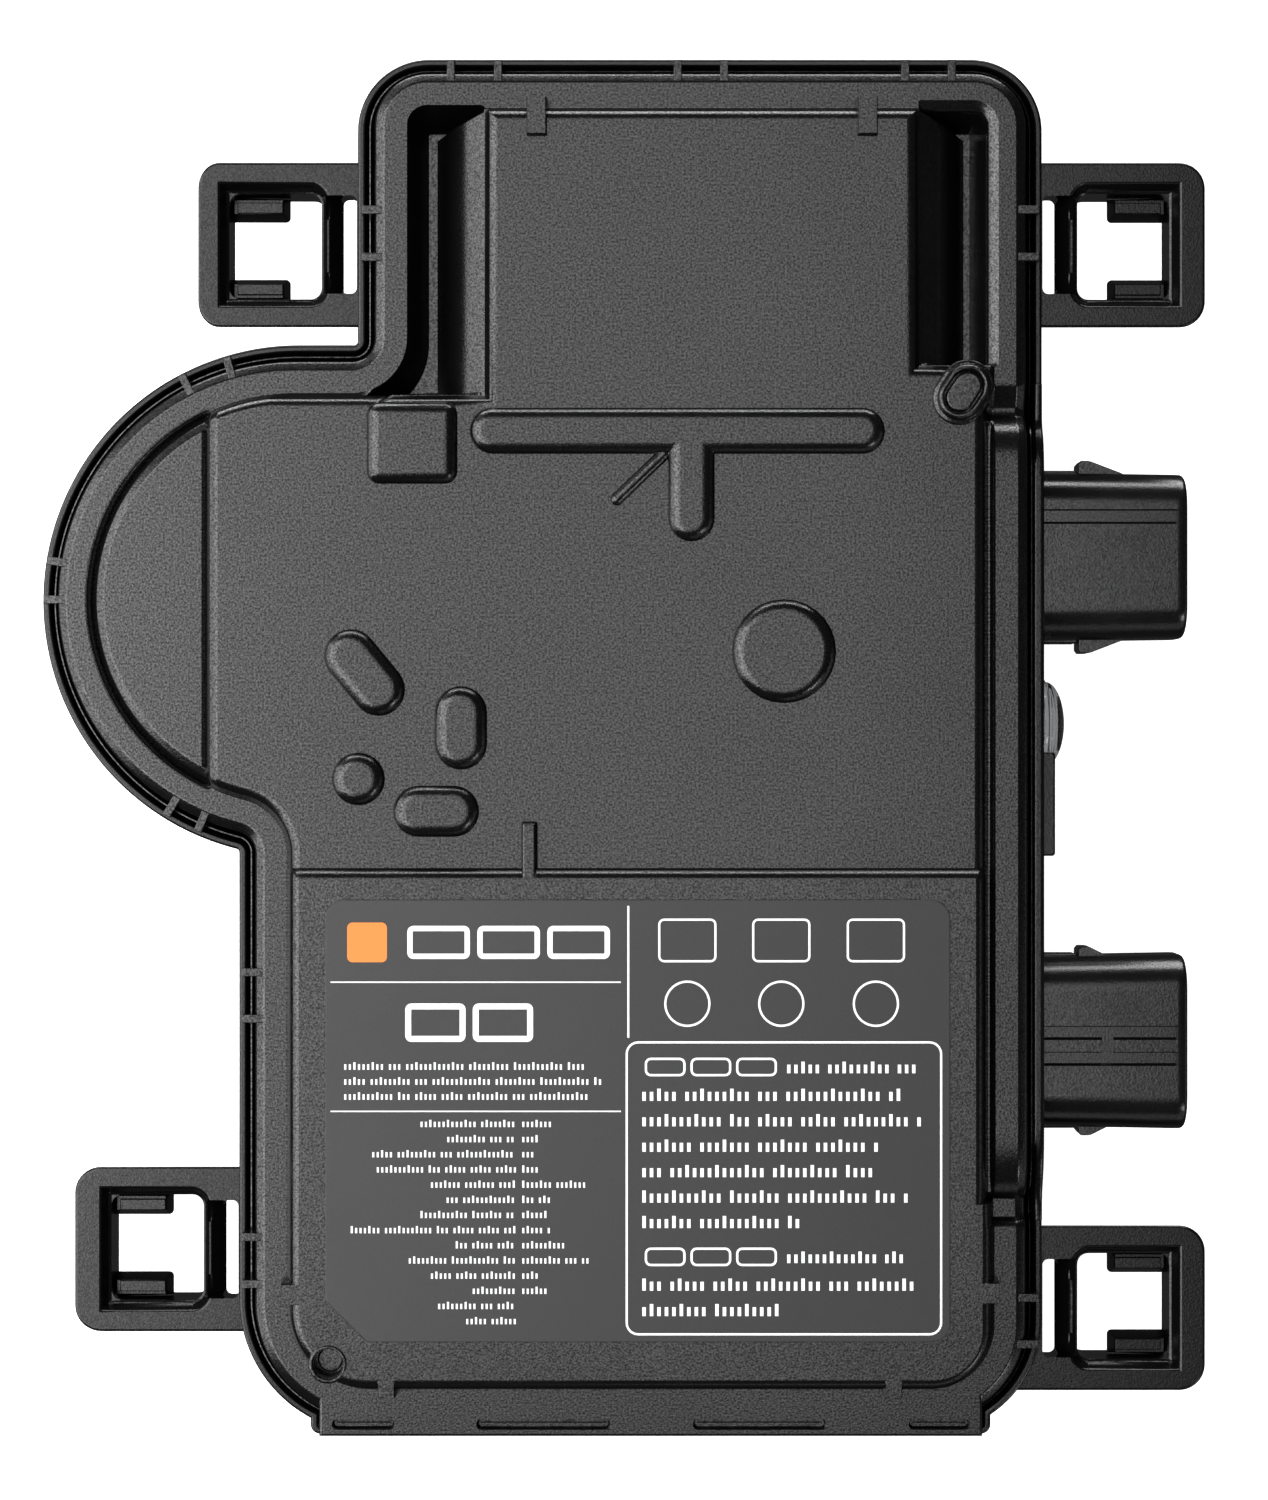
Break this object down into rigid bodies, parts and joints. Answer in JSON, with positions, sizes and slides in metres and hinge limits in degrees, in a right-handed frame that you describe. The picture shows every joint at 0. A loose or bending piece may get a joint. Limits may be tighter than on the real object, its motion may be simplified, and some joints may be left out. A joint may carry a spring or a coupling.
{
  "type": "micro inverter",
  "caption": "Micro inverter in a sealed black polymer case with a round lobe, snap loops for its bracket, two side connectors, a status lens and potted electronics inside.",
  "frame": {"origin": "centre of the bounding box in plan, on the plane of the case's back", "axes": "+Z out of the labelled face, +Y along the case to the end with the capacitor box, +X to the side with the connectors"},
  "size_m": [0.1794, 0.212, 0.0302],
  "materials": {
    "case_polymer": "fine leather grain, satin",
    "connector_polymer": "smooth moulded, satin",
    "seal_rubber": "soft silicone",
    "clear_plastic": "clear moulded plastic",
    "label_film": "satin printed film",
    "tinned_copper": "tin plating",
    "board_laminate": "solder-mask green laminate",
    "aluminium": "as rolled",
    "capacitor_sleeve": "shrink sleeve",
    "ferrite": "sintered, matt",
    "winding_copper": "enamelled copper",
    "moulding_compound": "moulded package",
    "thermal_silicone": "soft gap pad",
    "potting_resin": "cast resin",
    "film_casing": "moulded film-capacitor case",
    "varistor_coat": "dipped coating"
  },
  "bodies": {
    "root": {"ac_connector_housing": "connector_polymer", "ac_connector_retainer": "aluminium", "ac_connector_seal": "seal_rubber", "ac_fuse": "tinned_copper", "ac_pin_line": "tinned_copper", "ac_pin_neutral": "tinned_copper", "base_housing": "case_polymer", "controller_chip": "moulding_compound", "current_sensor": "moulding_compound", "dc_connector_housing": "connector_polymer", "dc_connector_retainer": "aluminium", "dc_connector_seal": "seal_rubber", "dc_pin_negative": "tinned_copper", "dc_pin_positive": "tinned_copper", "fill_port_plug": "case_polymer", "film_capacitor": "film_casing", "filter_choke": "winding_copper", "heat_spreader": "aluminium", "input_switch_1": "moulding_compound", "input_switch_2": "moulding_compound", "input_switch_3": "moulding_compound", "input_switch_4": "moulding_compound", "label_plate": "label_film", "lid": "case_polymer", "light_pipe": "clear_plastic", "lobe_inductor": "winding_copper", "main_board": "board_laminate", "output_relay": "moulding_compound", "output_switch_1": "moulding_compound", "output_switch_2": "moulding_compound", "output_switch_3": "moulding_compound", "output_switch_4": "moulding_compound", "perimeter_seal": "seal_rubber", "potting_bed": "potting_resin", "status_led": "clear_plastic", "status_lens": "clear_plastic", "storage_capacitor_1": "capacitor_sleeve", "storage_capacitor_2": "capacitor_sleeve", "storage_capacitor_3": "capacitor_sleeve", "storage_capacitor_4": "capacitor_sleeve", "surge_varistor": "varistor_coat", "thermal_pad_1": "thermal_silicone", "thermal_pad_2": "thermal_silicone", "transformer_core_lower": "ferrite", "transformer_core_upper": "ferrite", "transformer_winding": "winding_copper", "vent_plug": "case_polymer"}
  },
  "joints": []
}
